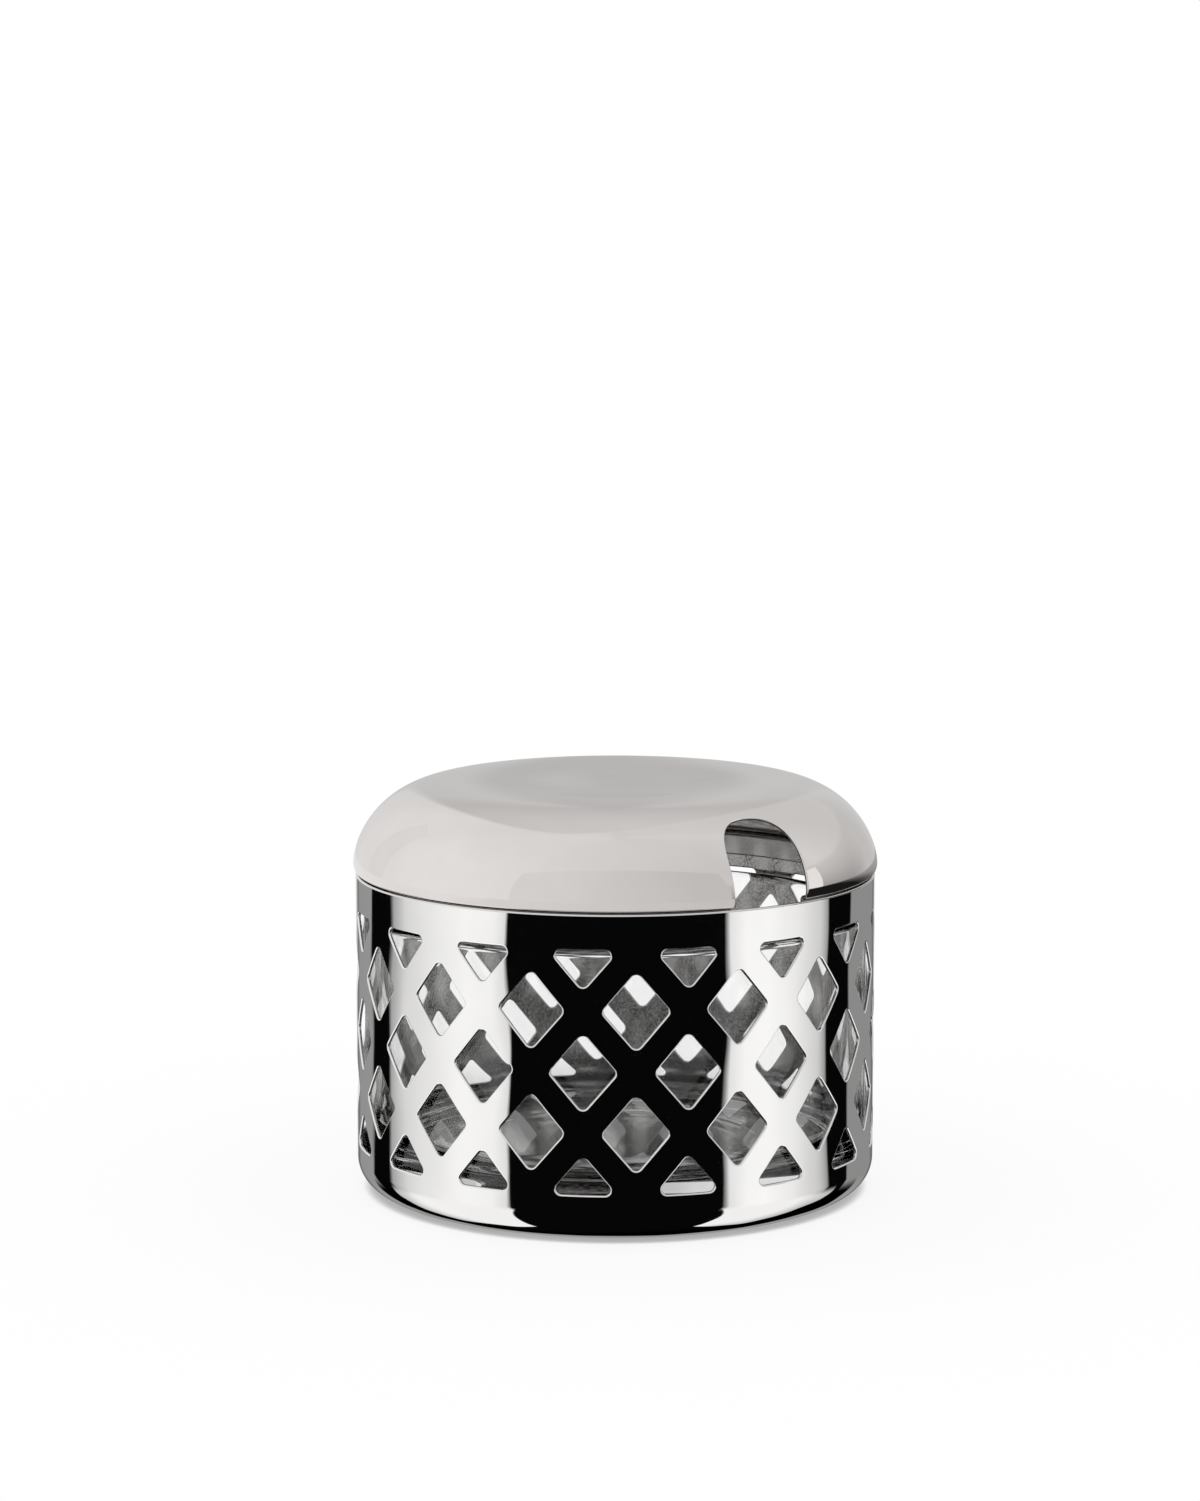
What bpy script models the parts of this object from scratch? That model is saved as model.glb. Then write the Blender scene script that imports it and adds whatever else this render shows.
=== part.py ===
"""Cheese cellar for the table: a pierced steel holder, a glass bowl that lifts out of it, and a domed
steel lid with a notch for the spoon. Metres, +Z up, origin at the centre of the base, notch towards -Y."""

import math

import bmesh
import bpy
from mathutils import Matrix, Vector

MM = 0.001

# Holder, a cup drawn from one sheet of steel
HOLDER_RADIUS = 57.0 * MM
HOLDER_HEIGHT = 70.0 * MM
HOLDER_SHEET = 0.8 * MM
BASE_FILLET = 7.0 * MM
FOOT_WIDTH = 6.0 * MM
BASE_RISE = 1.0 * MM
BASE_SLOPE = 1.5 * MM

# Trellis of lozenges pierced through the holder's wall
TOP_BAND = 7.5 * MM
LOW_BAND = 3.5 * MM
COLUMNS = 16
TIERS = 2
STRAP = 6.0 * MM
OPENING_CORNER = 1.2 * MM

# Glass bowl, standing loose in the holder
BOWL_CLEARANCE = 1.0 * MM
BOWL_SEAT_GAP = 0.3 * MM
BOWL_HEADROOM = 3.6 * MM
BOWL_WALL = 3.0 * MM
BOWL_FLOOR = 9.0 * MM
BOWL_INNER_CORNER = 7.0 * MM
BOWL_FOOT_WIDTH = 10.0 * MM
BOWL_RECESS = 0.6 * MM

# Lid, pressed from one sheet, with a lip that drops into the holder
LID_HEIGHT = 20.0 * MM
LID_SHEET = 0.8 * MM
RIDGE_RADIUS = 36.0 * MM
DISH_DEPTH = 2.0 * MM
BULGE_HEIGHT = 2.2 * MM
BULGE_OVERHANG = 0.5 * MM
SHOULDER_RUN_POWER = 0.9
SHOULDER_RISE_POWER = 1.19
ROLL_RADIUS = 3.0 * MM
HEM_RADIUS = 1.0 * MM
LID_SEAT_GAP = 0.3 * MM
LIP_CLEARANCE = 0.5 * MM
LIP_DEPTH = 4.4 * MM
LIP_BEND = 0.3 * MM
NOTCH_WIDTH = 19.0 * MM
NOTCH_DEPTH = 10.3 * MM
NOTCH_ARCH = 9.2 * MM
NOTCH_POWER = 2.25

# Fineness of the round forms
TURN_STEPS = 64
CORNER_STEPS = 2
NOTCH_STEPS = 16
FILLET_STEPS = 4
DISH_STEPS = 4
SHOULDER_STEPS = 6
ROLL_STEPS = 2
HEM_STEPS = 2
MERGE_DISTANCE = 0.00001
CUT_MARGIN = 4.0 * MM


def clear_scene():
    """Remove whatever the file already holds."""
    for thing in list(bpy.data.objects):
        bpy.data.objects.remove(thing, do_unlink=True)


def material(name, colour, metallic, roughness, transmission=0.0):
    """A plain Principled material."""
    made = bpy.data.materials.new(name)
    made.use_nodes = True
    shader = made.node_tree.nodes["Principled BSDF"]
    shader.inputs["Base Color"].default_value = (*colour, 1.0)
    shader.inputs["Metallic"].default_value = metallic
    shader.inputs["Roughness"].default_value = roughness
    shader.inputs["Transmission Weight"].default_value = transmission
    return made


def new_object(name, mesh, parent=None):
    """Link one mesh to the scene under a name."""
    thing = bpy.data.objects.new(name, mesh)
    bpy.context.scene.collection.objects.link(thing)
    thing.parent = parent
    return thing


def arc(centre, radii, start, end, steps):
    """Points on an ellipse in the (radius, height) plane, angles in degrees from the outward direction."""
    points = []
    for step in range(steps + 1):
        angle = math.radians(start + (end - start) * step / steps)
        points.append((centre[0] + radii[0] * math.cos(angle), centre[1] + radii[1] * math.sin(angle)))
    return points


def turned_mesh(name, profile):
    """A mesh with the profile as one open line of edges at +X."""
    mesh = bpy.data.meshes.new(name)
    edges = [(index, index + 1) for index in range(len(profile) - 1)]
    mesh.from_pydata([(radius, 0.0, height) for radius, height in profile], edges, [])
    return mesh


def add_turn(thing):
    """Spin the profile once round the Z axis."""
    screw = thing.modifiers.new("turn", "SCREW")
    screw.axis = "Z"
    screw.steps = TURN_STEPS
    screw.render_steps = TURN_STEPS
    screw.use_merge_vertices = True
    screw.merge_threshold = MERGE_DISTANCE
    screw.use_smooth_shade = True


def add_sheet(thing, thickness):
    """Thicken the turned skin inwards, so that the profile stays the outer face."""
    sheet = thing.modifiers.new("sheet", "SOLIDIFY")
    sheet.thickness = thickness
    sheet.offset = -1.0
    sheet.use_even_offset = True


def add_cut(thing, cutter):
    """Cut one hidden object out of another."""
    cutter.hide_render = True
    cutter.display_type = "WIRE"
    cut = thing.modifiers.new(cutter.name, "BOOLEAN")
    cut.operation = "DIFFERENCE"
    cut.solver = "EXACT"
    cut.object = cutter


def prism(shape, low_ring, high_ring):
    """Add a closed prism between two rings of points that run anticlockwise seen from the high side."""
    low = [shape.verts.new(point) for point in low_ring]
    high = [shape.verts.new(point) for point in high_ring]
    shape.faces.new(reversed(low))
    shape.faces.new(high)
    for index in range(len(low)):
        after = (index + 1) % len(low)
        shape.faces.new((low[index], low[after], high[after], high[index]))


def rounded(corners, radius):
    """An anticlockwise convex outline with each corner replaced by a short arc."""
    outline = []
    for index, corner in enumerate(corners):
        here = Vector(corner)
        before = (Vector(corners[index - 1]) - here).normalized()
        after = (Vector(corners[(index + 1) % len(corners)]) - here).normalized()
        half = before.angle(after) / 2
        centre = here + (before + after).normalized() * (radius / math.sin(half))
        sweep = math.pi - 2 * half
        spoke = here + before * (radius / math.tan(half)) - centre
        for step in range(CORNER_STEPS + 1):
            outline.append(centre + Matrix.Rotation(sweep * step / CORNER_STEPS, 2) @ spoke)
    return outline


def trellis_cutter():
    """Every opening of the trellis as a radial prism: whole lozenges, with halves along both bands."""
    low = BASE_FILLET + LOW_BAND
    half_width = math.pi * HOLDER_RADIUS / COLUMNS
    half_height = (HOLDER_HEIGHT - TOP_BAND - low) / TIERS / 2
    reach = half_width * half_height / math.hypot(half_width, half_height)
    shrink = 1 - STRAP / 2 / reach
    across, up = half_width * shrink, half_height * shrink
    right, top, left, bottom = (across, 0.0), (0.0, up), (-across, 0.0), (0.0, -up)
    rows = range(2 * TIERS + 1)
    shape = bmesh.new()
    for row in rows:
        corners = [right, top, left, bottom]
        if row == rows[0]:
            corners = [right, top, left]
        elif row == rows[-1]:
            corners = [right, left, bottom]
        outline = rounded(corners, OPENING_CORNER)
        height = low + row * half_height
        for column in range(COLUMNS):
            angle = 2 * math.pi * (column + row % 2 / 2) / COLUMNS + math.pi / TURN_STEPS
            turn = Matrix.Rotation(angle, 3, "Z")
            rings = []
            for radius in (HOLDER_RADIUS - HOLDER_SHEET - CUT_MARGIN, HOLDER_RADIUS + CUT_MARGIN):
                rings.append([turn @ Vector((radius, point.x, height + point.y)) for point in outline])
            prism(shape, *rings)
    mesh = bpy.data.meshes.new("trellis_cutter")
    shape.to_mesh(mesh)
    shape.free()
    return mesh


def panel_radius():
    """Radius of the base panel that is pressed up inside the foot."""
    return HOLDER_RADIUS - BASE_FILLET - FOOT_WIDTH - BASE_SLOPE


def holder_profile():
    """The holder's outer face from the rim down and in to the axis."""
    foot_outside = HOLDER_RADIUS - BASE_FILLET
    fillet = arc((foot_outside, BASE_FILLET), (BASE_FILLET, BASE_FILLET), 0, -90, FILLET_STEPS)
    base = [(foot_outside - FOOT_WIDTH, 0.0), (panel_radius(), BASE_RISE), (0.0, BASE_RISE)]
    return [(HOLDER_RADIUS, HOLDER_HEIGHT)] + fillet + base


def make_holder(parent, steel):
    """The drawn cup with its trellis of openings."""
    holder = new_object("pierced_holder", turned_mesh("pierced_holder", holder_profile()), parent)
    holder.data.materials.append(steel)
    add_turn(holder)
    add_sheet(holder, HOLDER_SHEET)
    add_cut(holder, new_object("trellis_cutter", trellis_cutter(), parent))
    return holder


def bowl_seat():
    """Height of the bowl's foot above the table, a hair over the holder's raised panel."""
    return BASE_RISE + HOLDER_SHEET + BOWL_SEAT_GAP


def bowl_profile():
    """The bowl's section from the middle of its floor, up inside, over the rim and down to its foot."""
    height = HOLDER_HEIGHT - LIP_DEPTH - BOWL_HEADROOM - bowl_seat()
    outside = HOLDER_RADIUS - HOLDER_SHEET - BOWL_CLEARANCE
    inside = outside - BOWL_WALL
    round_in = (BOWL_INNER_CORNER, BOWL_INNER_CORNER)
    round_out = (BASE_FILLET - HOLDER_SHEET, BASE_FILLET - HOLDER_SHEET)
    round_rim = (BOWL_WALL / 2, BOWL_WALL / 2)
    inner_corner = arc((inside - round_in[0], BOWL_FLOOR + round_in[1]), round_in, -90, 0, FILLET_STEPS)
    rim = arc((inside + round_rim[0], height - round_rim[1]), round_rim, 180, 0, FILLET_STEPS)
    outer_corner = arc((outside - round_out[0], round_out[1]), round_out, 0, -90, FILLET_STEPS)
    recess = panel_radius() - BOWL_FOOT_WIDTH
    foot = [(recess, 0.0), (recess - BOWL_RECESS, BOWL_RECESS), (0.0, BOWL_RECESS)]
    return [(0.0, BOWL_FLOOR)] + inner_corner + rim + outer_corner + foot


def make_bowl(parent, glass):
    """The loose glass bowl, standing on the raised panel of the holder's base."""
    bowl = new_object("glass_bowl", turned_mesh("glass_bowl", bowl_profile()), parent)
    bowl.data.materials.append(glass)
    bowl.location.z = bowl_seat()
    add_turn(bowl)
    return bowl


def lid_profile():
    """The lid's outer face above the holder's rim, from the axis out, down and into the lip."""
    dish = []
    for step in range(DISH_STEPS):
        share = step / DISH_STEPS
        dip = DISH_DEPTH * (1 + math.cos(math.pi * share)) / 2
        dish.append((RIDGE_RADIUS * share, LID_HEIGHT - dip))
    bulge = HOLDER_RADIUS + BULGE_OVERHANG
    shoulder = []
    for step in range(SHOULDER_STEPS + 1):
        angle = math.pi / 2 * (1 - step / SHOULDER_STEPS)
        run = max(math.cos(angle), 0.0) ** SHOULDER_RUN_POWER
        rise = math.sin(angle) ** SHOULDER_RISE_POWER
        height = BULGE_HEIGHT + (LID_HEIGHT - BULGE_HEIGHT) * rise
        shoulder.append((RIDGE_RADIUS + (bulge - RIDGE_RADIUS) * run, height))
    inset = ROLL_RADIUS - HEM_RADIUS
    turn = math.asin((BULGE_HEIGHT - LID_SEAT_GAP - HEM_RADIUS) / inset)
    roll_centre = (bulge - ROLL_RADIUS, BULGE_HEIGHT)
    hem_centre = (roll_centre[0] + inset * math.cos(turn), roll_centre[1] - inset * math.sin(turn))
    down = -math.degrees(turn)
    roll = arc(roll_centre, (ROLL_RADIUS, ROLL_RADIUS), 0, down, ROLL_STEPS)
    hem = arc(hem_centre, (HEM_RADIUS, HEM_RADIUS), down, -90, HEM_STEPS)
    lip_radius = HOLDER_RADIUS - HOLDER_SHEET - LIP_CLEARANCE
    bend = [(lip_radius + LIP_BEND, LID_SEAT_GAP), (lip_radius, LID_SEAT_GAP - LIP_BEND)]
    return dish + shoulder + roll[1:] + hem[1:] + bend + [(lip_radius, -LIP_DEPTH)]


def notch_cutter():
    """A prism with a full rounded inner end that opens past the lid's edge, towards -Y."""
    bulge = HOLDER_RADIUS + BULGE_OVERHANG
    half_width = NOTCH_WIDTH / 2
    centre = -(bulge - NOTCH_DEPTH + NOTCH_ARCH)
    outer = -(bulge + CUT_MARGIN)
    outline = [(-half_width, outer), (half_width, outer)]
    for step in range(NOTCH_STEPS + 1):
        angle = math.pi * step / NOTCH_STEPS
        across = math.copysign(abs(math.cos(angle)) ** (2 / NOTCH_POWER), math.cos(angle))
        rise = max(math.sin(angle), 0.0) ** (2 / NOTCH_POWER)
        outline.append((half_width * across, centre + NOTCH_ARCH * rise))
    shape = bmesh.new()
    low, high = -LIP_DEPTH - CUT_MARGIN, LID_HEIGHT + CUT_MARGIN
    prism(shape, [(x, y, low) for x, y in outline], [(x, y, high) for x, y in outline])
    mesh = bpy.data.meshes.new("notch_cutter")
    shape.to_mesh(mesh)
    shape.free()
    return mesh


def make_lid(parent, steel):
    """The domed lid with its dished top, seated on the holder's rim."""
    lid = new_object("lid", turned_mesh("lid", lid_profile()), parent)
    lid.data.materials.append(steel)
    lid.location.z = HOLDER_HEIGHT
    add_turn(lid)
    add_sheet(lid, LID_SHEET)
    cutter = new_object("notch_cutter", notch_cutter(), parent)
    cutter.location.z = HOLDER_HEIGHT
    add_cut(lid, cutter)
    return lid


def main():
    clear_scene()
    cellar = bpy.data.objects.new("cheese_cellar", None)
    bpy.context.scene.collection.objects.link(cellar)
    make_holder(cellar, material("holder_steel", (0.62, 0.61, 0.60), 1.0, 0.06))
    make_bowl(cellar, material("bowl_glass", (0.96, 0.98, 0.97), 0.0, 0.02, transmission=1.0))
    make_lid(cellar, material("lid_steel", (0.66, 0.65, 0.64), 1.0, 0.08))


main()
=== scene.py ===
"""Looks of the cheese cellar: pierced holder, glass bowl and lid with a spoon notch.

Metres, +Z up, notch towards -Y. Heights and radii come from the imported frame.
"""

import math

import bpy
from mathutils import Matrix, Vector
from mathutils.geometry import delaunay_2d_cdt


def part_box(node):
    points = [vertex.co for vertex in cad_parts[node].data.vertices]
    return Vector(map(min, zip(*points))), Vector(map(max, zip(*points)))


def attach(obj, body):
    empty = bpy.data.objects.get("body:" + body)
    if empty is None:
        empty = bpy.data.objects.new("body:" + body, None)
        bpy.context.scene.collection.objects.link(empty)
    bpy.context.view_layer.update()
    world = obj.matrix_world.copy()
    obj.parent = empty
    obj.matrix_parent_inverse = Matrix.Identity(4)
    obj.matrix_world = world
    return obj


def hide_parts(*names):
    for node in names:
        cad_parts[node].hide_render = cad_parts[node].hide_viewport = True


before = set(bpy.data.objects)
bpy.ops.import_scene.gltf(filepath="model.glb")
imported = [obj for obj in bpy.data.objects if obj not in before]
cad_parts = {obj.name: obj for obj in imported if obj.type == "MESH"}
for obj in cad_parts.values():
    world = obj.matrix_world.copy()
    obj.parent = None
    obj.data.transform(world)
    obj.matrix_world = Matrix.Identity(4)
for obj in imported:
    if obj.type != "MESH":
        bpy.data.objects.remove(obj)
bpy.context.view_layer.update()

MM = 0.001
WHITE = (1.0, 1.0, 1.0, 1.0)

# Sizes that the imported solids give
HOLDER_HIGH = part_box("pierced_holder")[1]
BOWL_LOW, BOWL_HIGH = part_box("glass_bowl")
LID_LOW, LID_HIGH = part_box("lid")
HOLDER_RADIUS = HOLDER_HIGH[0]
RIM_HEIGHT = HOLDER_HIGH[2]
BOWL_RADIUS = BOWL_HIGH[0]
BOWL_SEAT = BOWL_LOW[2]
BOWL_RIM = BOWL_HIGH[2]
LID_RADIUS = LID_HIGH[0]
LID_TOP = LID_HIGH[2]
LIP_END = LID_LOW[2]

# Holder
HOLDER_SHEET = 0.8 * MM
BASE_FILLET = 7.0 * MM
FOOT_WIDTH = 6.0 * MM
BASE_RISE = 1.0 * MM
BASE_SLOPE = 1.5 * MM
TOP_BAND = 7.5 * MM
LOW_BAND = 3.5 * MM
COLUMNS = 16
TIERS = 2
STRAP = 6.0 * MM
OPENING_CORNER = 1.2 * MM
TRELLIS_TURN = math.pi / 64
EDGE_ROUND = 0.36 * MM

# Trellis of the wall laid flat
TRELLIS_LOW = BASE_FILLET + LOW_BAND
TRELLIS_ROWS = range(2 * TIERS + 1)
HALF_WIDTH = math.pi * HOLDER_RADIUS / COLUMNS
HALF_HEIGHT = (RIM_HEIGHT - TOP_BAND - TRELLIS_LOW) / TIERS / 2

# Bowl
BOWL_WALL = 3.0 * MM
BOWL_FLOOR = 9.0 * MM
BOWL_INNER_CORNER = 7.0 * MM
BOWL_FOOT_WIDTH = 10.0 * MM
BOWL_RECESS = 0.6 * MM

# Lid
LID_SHEET = 0.8 * MM
RIDGE_RADIUS = 36.0 * MM
DISH_DEPTH = 2.0 * MM
BULGE_HEIGHT = 2.2 * MM
SHOULDER_RUN_POWER = 0.9
SHOULDER_RISE_POWER = 1.19
ROLL_RADIUS = 3.0 * MM
HEM_RADIUS = 1.0 * MM
LID_SEAT_GAP = 0.3 * MM
LIP_CLEARANCE = 0.5 * MM
LIP_BEND = 0.3 * MM
# How far the face is tilted up where the painted dark seam shade starts and where the lip starts
SEAM_TILT = -0.95
LIP_TILT = -0.5

# Spoon notch, its rounded edge included in its centre, reach and rise
NOTCH_WIDTH = 19.0 * MM
NOTCH_DEPTH = 10.3 * MM
NOTCH_ARCH = 9.2 * MM
NOTCH_POWER = 2.25
NOTCH_CENTRE = LID_RADIUS - NOTCH_DEPTH + NOTCH_ARCH
NOTCH_REACH = NOTCH_WIDTH / 2 + EDGE_ROUND
NOTCH_RISE = NOTCH_ARCH + EDGE_ROUND

# Fineness
TURN_STEPS = 192
SECTOR_STEPS = TURN_STEPS // COLUMNS
CORNER_STEPS = 6
SIDE_STEPS = 5
BEVEL_STEPS = 4
FILLET_STEPS = 18
RIM_STEPS = 10
DISH_STEPS = 20
SHOULDER_STEPS = 30
NOTCH_STEPS = 22
BEND_STEPS = 6
HALVINGS = 50
LINE_MARGIN = 0.15 * MM
LINE_SHARE = 0.4
SHOULDER_CLEARANCE = LINE_MARGIN / 3
SAME_POINT = 1e-9
WELD_DIGITS = 7
FILL_SPACING = 2.3 * MM
FILL_CLEARANCE = 1.1 * MM
FILL_WHOLE = 0
FILL_TOLERANCE = 1e-5

# Numbers of the materials on the holder and on the lid, and how much of the notch's edge is polished
POLISHED = 0
INSIDE = 1
HOLDER_FLOOR = 2
# The openings' edges take a brighter steel, a painted highlight
HOLDER_EDGE_HIGHLIGHT = 3
# Dark steel on the notch's cut faces, and painted shade for the seam under the hem
LID_DARK_CUT_AND_SEAM_SHADE = 2
NOTCH_SHEEN = 3

# Colours of the finishes
WALL_STEEL = (0.872, 0.865, 0.858)
WALL_INSIDE_STEEL = (0.64, 0.63, 0.62)
FLOOR_STEEL = (0.58, 0.57, 0.56)
# Brighter copy of the wall's polish for the openings' rounded edges: a painted highlight
EDGE_HIGHLIGHT_STEEL = (0.96, 0.955, 0.95)
LID_STEEL = (0.905, 0.865, 0.845)
LID_INSIDE_STEEL = (0.57, 0.56, 0.55)
# Dark steel for the notch's cut faces, and painted shade on the hem's underside that makes the dark seam
# over the holder's rim
DARK_CUT_AND_SEAM_SHADE_STEEL = (0.30, 0.295, 0.29)
CLEAR_GLASS = (0.99, 0.99, 0.987, 1.0)
GLASS_IOR = 1.5

# Grain of the finishes: marks to the metre, and the axes that they are drawn out along
NOISE_MIDDLE = (0.3, 0.7)
SPECKLE_GRAIN = 2100.0
RING_GRAIN = 1500.0
POLISH_GRAIN = 6000.0
POLISH_STRETCH = (0.02, 0.02, 1.0)
CLOUD_GRAIN = 90.0
CLOUD_CONTRAST = 0.02
WAVE_GRAIN = 60.0
WAVE_STRETCH = (1.0, 1.0, 0.5)
SMEAR_GRAIN = 60.0
SMEAR_ROUGHNESS = 0.012
GLASS_WAVE_GRAIN = 45.0
GLASS_WAVE_STRETCH = (1.0, 1.0, 0.4)
GLASS_WAVE_DEPTH = 0.04 * MM

# Camera that the photo was fitted with
VIEW_AZIMUTH = math.radians(-35.2)
VIEW_DISTANCE = 934.5 * MM
VIEW_HEIGHT = 226.1 * MM
VIEW_LEFT = 3.34 * MM
VIEW_PITCH = math.radians(7.90)
VIEW_LENS = 103.31
VIEW_SENSOR = 36.0

# White table, with a painted contact shadow from ambient occlusion in the corner under the object
TABLE_HALF_SIDE = 3.0
TABLE_DROP = 0.2 * MM
TABLE_LIFT = 0.80
PAINTED_SHADOW_REACH = 2.4 * MM
PAINTED_SHADOW_SAMPLES = 4
PAINTED_SHADOW_LEVELS = (0.3, 0.9, 0.45, 1.0)

# Ring of light for the lid's tucked edge
COLLAR_INSIDE = 57.15 * MM
COLLAR_OUTSIDE = 78.0 * MM
COLLAR_DROP = 0.05 * MM

# Studio panels: azimuth in degrees from the photo's view, to its right, and brightness there
DARK = 0.002
LOW_PANELS = (
    (-180, DARK), (-170, 0.03), (-158, 0.30), (-136.5, 0.33), (-136, DARK), (-119, DARK),
    (-117, 0.40), (-106, 0.76), (-90, 0.90), (-70, 1.04), (-54, 1.00), (-48.5, 0.80), (-48, DARK),
    (49, DARK), (49.5, 0.84), (58, 1.05), (70, 1.07), (86, 0.93), (102, 0.70), (107, 0.35),
    (108, DARK), (126, DARK), (126.5, 0.29), (158, 0.28), (170, 0.03), (180, DARK),
)
HIGH_PANELS = (
    (-180, 0.65), (-150, 0.77), (-120, 0.79), (-105, 0.83), (-75, 0.82), (-50, 0.79),
    (-30, 0.75), (0, 0.69), (30, 0.64), (60, 0.62), (90, 0.66), (105, 0.72),
    (120, 0.67), (138, 0.62), (165, 0.62), (180, 0.65),
)
COLLAR_PANELS = (
    (-180, 0.62), (-160, 0.74), (-100, 0.82), (-40, 0.80), (-30, 0.72), (30, 0.58), (41, 0.57),
    (42, 0.01), (68, 0.01), (76, 0.10), (88, 0.30), (110, 0.40), (180, 0.55),
)

# Cards before the panels: azimuth and brightness at both sides, and where they end above
FRONT_CARD = ((-46.5, 0.72), (51, 0.57))
FRONT_CARD_SLOPE = 1.08
LEFT_CARD = ((-136.5, 0.745), (-121, 0.755))
LEFT_CARD_TOP = 0.60
SIDE_CARD = ((80, 0.84), (101.5, 0.84))
SIDE_CARD_TOP = 0.30

# Changes of the light with the direction: where a change starts and ends, then the value at both
HORIZON = (-0.16, -0.14, 0.0, 1.0)
ZENITH_LEVEL = 0.70
ZENITH_SHARE = (0.6, 1.0, 0.0, 0.7)
RIGHT_STEP = (0.30, 0.36, 0.90, 1.0)
RIGHT_STEP_SIDE = (0.15, 0.5, 0.0, 1.0)
RIGHT_FALL = (-0.16, 0.33, 0.48, 1.0)
RIGHT_FALL_SIDE = (0.55, 0.85, 0.0, 1.0)
LOW_BACKDROP = (0.945, 0.975, 0.0, 0.75)

# The dim backdrop behind and above is an oval in the plan of directions, which leans to the left
BACKDROP_MIDDLE = 0.60
BACKDROP_SHIFT = 0.16
BACKDROP_LEAN = 0.165
BACKDROP_WIDTH = 0.272
BACKDROP_DEPTH = 0.47
BACKDROP_EDGE = (0.84, 1.10, 1.0, 0.0)
BACKDROP_LEVEL = (0.4, 0.95, 0.505, 0.64)
BACKDROP_SIDES = (0.004, 0.03, 0.0, 0.075)
BACKDROP_SIDES_LOW = (0.3, 0.55, 1.0, 0.0)

# Borders on the mirrored table in the plan of directions, with pairs for the left and the right
TABLE_MIDDLE = 0.1
TABLE_SHOWN = (-0.46, -0.27, 1.0, 0.0)
TABLE_FRONT_TURN = (-0.90, -0.94)
TABLE_FRONT_BEND = 0.19
TABLE_FRONT_WIDTH = 0.33
TABLE_FRONT_STEP = (0.0, 0.02, DARK, 1.0)
TABLE_SIDE_DEPTH = (0.478, 0.2)
TABLE_SIDE_SLOPE = 0.43
TABLE_SIDE_STEP = (0.0, 0.03, 0.0, 1.0)
TABLE_SIDE_FALL = (0.0, 0.4, 0.6, 1.0)
TABLE_FAR_SLOPE = 0.765
TABLE_FAR_DEPTH = 0.85
TABLE_FAR_STEP = (0.0, 0.03, 0.0, 0.33)


class Skin:
    """Points with their own normals, welded where they meet, and faces with a material number."""

    def __init__(self):
        self.points = []
        self.normals = []
        self.faces = []
        self.paints = []
        self.places = {}

    def point(self, place, normal):
        """The number of the point at a place, which keeps the normal that it was first given."""
        key = tuple(round(value, WELD_DIGITS) for value in place)
        if key not in self.places:
            self.places[key] = len(self.points)
            self.points.append(tuple(place))
            self.normals.append(tuple(normal))
        return self.places[key]

    def face(self, corners, paint=POLISHED):
        """A face, unless welding leaves it fewer than three corners."""
        kept = [corner for index, corner in enumerate(corners) if corner != corners[index - 1]]
        if len(kept) > 2:
            self.faces.append(kept)
            self.paints.append(paint)

    def strip(self, row, after, paint=POLISHED):
        """Faces between two rows, the second to the right of the first as seen from outside."""
        for index in range(len(row) - 1):
            self.face((row[index], after[index], after[index + 1], row[index + 1]), paint)

    def rows(self, rows, paint=POLISHED):
        """Faces between rows that follow one another."""
        for row, after in zip(rows, rows[1:]):
            self.strip(row, after, paint)

    def piece(self, name, materials):
        """An object with these faces."""
        mesh = bpy.data.meshes.new(name)
        mesh.from_pydata(self.points, [], self.faces)
        for material in materials:
            mesh.materials.append(material)
        mesh.polygons.foreach_set("material_index", self.paints)
        mesh.shade_smooth()
        mesh.normals_split_custom_set_from_vertices(self.normals)
        made = bpy.data.objects.new(name, mesh)
        bpy.context.scene.collection.objects.link(made)
        return made


# Profiles in the (radius, height) plane

def arc(centre, radius, start, end, steps):
    """Points on a circle, angles in degrees from the outward direction."""
    points = []
    for step in range(steps + 1):
        angle = math.radians(start + (end - start) * step / steps)
        points.append((centre[0] + radius * math.cos(angle), centre[1] + radius * math.sin(angle)))
    return points


def line(start, end):
    """A straight run with a point close to each end, so that its normals stay straight."""
    margin = min(LINE_MARGIN / math.dist(start, end), LINE_SHARE)
    shares = [0.0, margin, 1 - margin, 1.0]
    return [tuple(a + (b - a) * share for a, b in zip(start, end)) for share in shares]


def ease(start, end, steps):
    """An S curve that leaves and arrives level in radius."""
    points = []
    for step in range(steps + 1):
        share = step / steps
        bend = (1 - math.cos(math.pi * share)) / 2
        points.append((start[0] + (end[0] - start[0]) * share, start[1] + (end[1] - start[1]) * bend))
    return points


def joined(*runs):
    """Runs of points end to end, without the points that repeat."""
    path = []
    for run in runs:
        for point in run:
            if not path or math.dist(point, path[-1]) > SAME_POINT:
                path.append(point)
    return path


def stations(path):
    """Each point of a profile with its normal, which lies to the left of the way along it."""
    made = []
    for index, point in enumerate(path):
        before = path[max(index - 1, 0)]
        after = path[min(index + 1, len(path) - 1)]
        back, ahead = math.dist(before, point), math.dist(point, after)
        tangent = [0.0, 0.0]
        for axis in (0, 1):
            if back:
                tangent[axis] += (point[axis] - before[axis]) / back * (ahead or 1.0)
            if ahead:
                tangent[axis] += (after[axis] - point[axis]) / ahead * (back or 1.0)
        size = math.hypot(*tangent)
        made.append((*point, -tangent[1] / size, tangent[0] / size))
    return made


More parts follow.
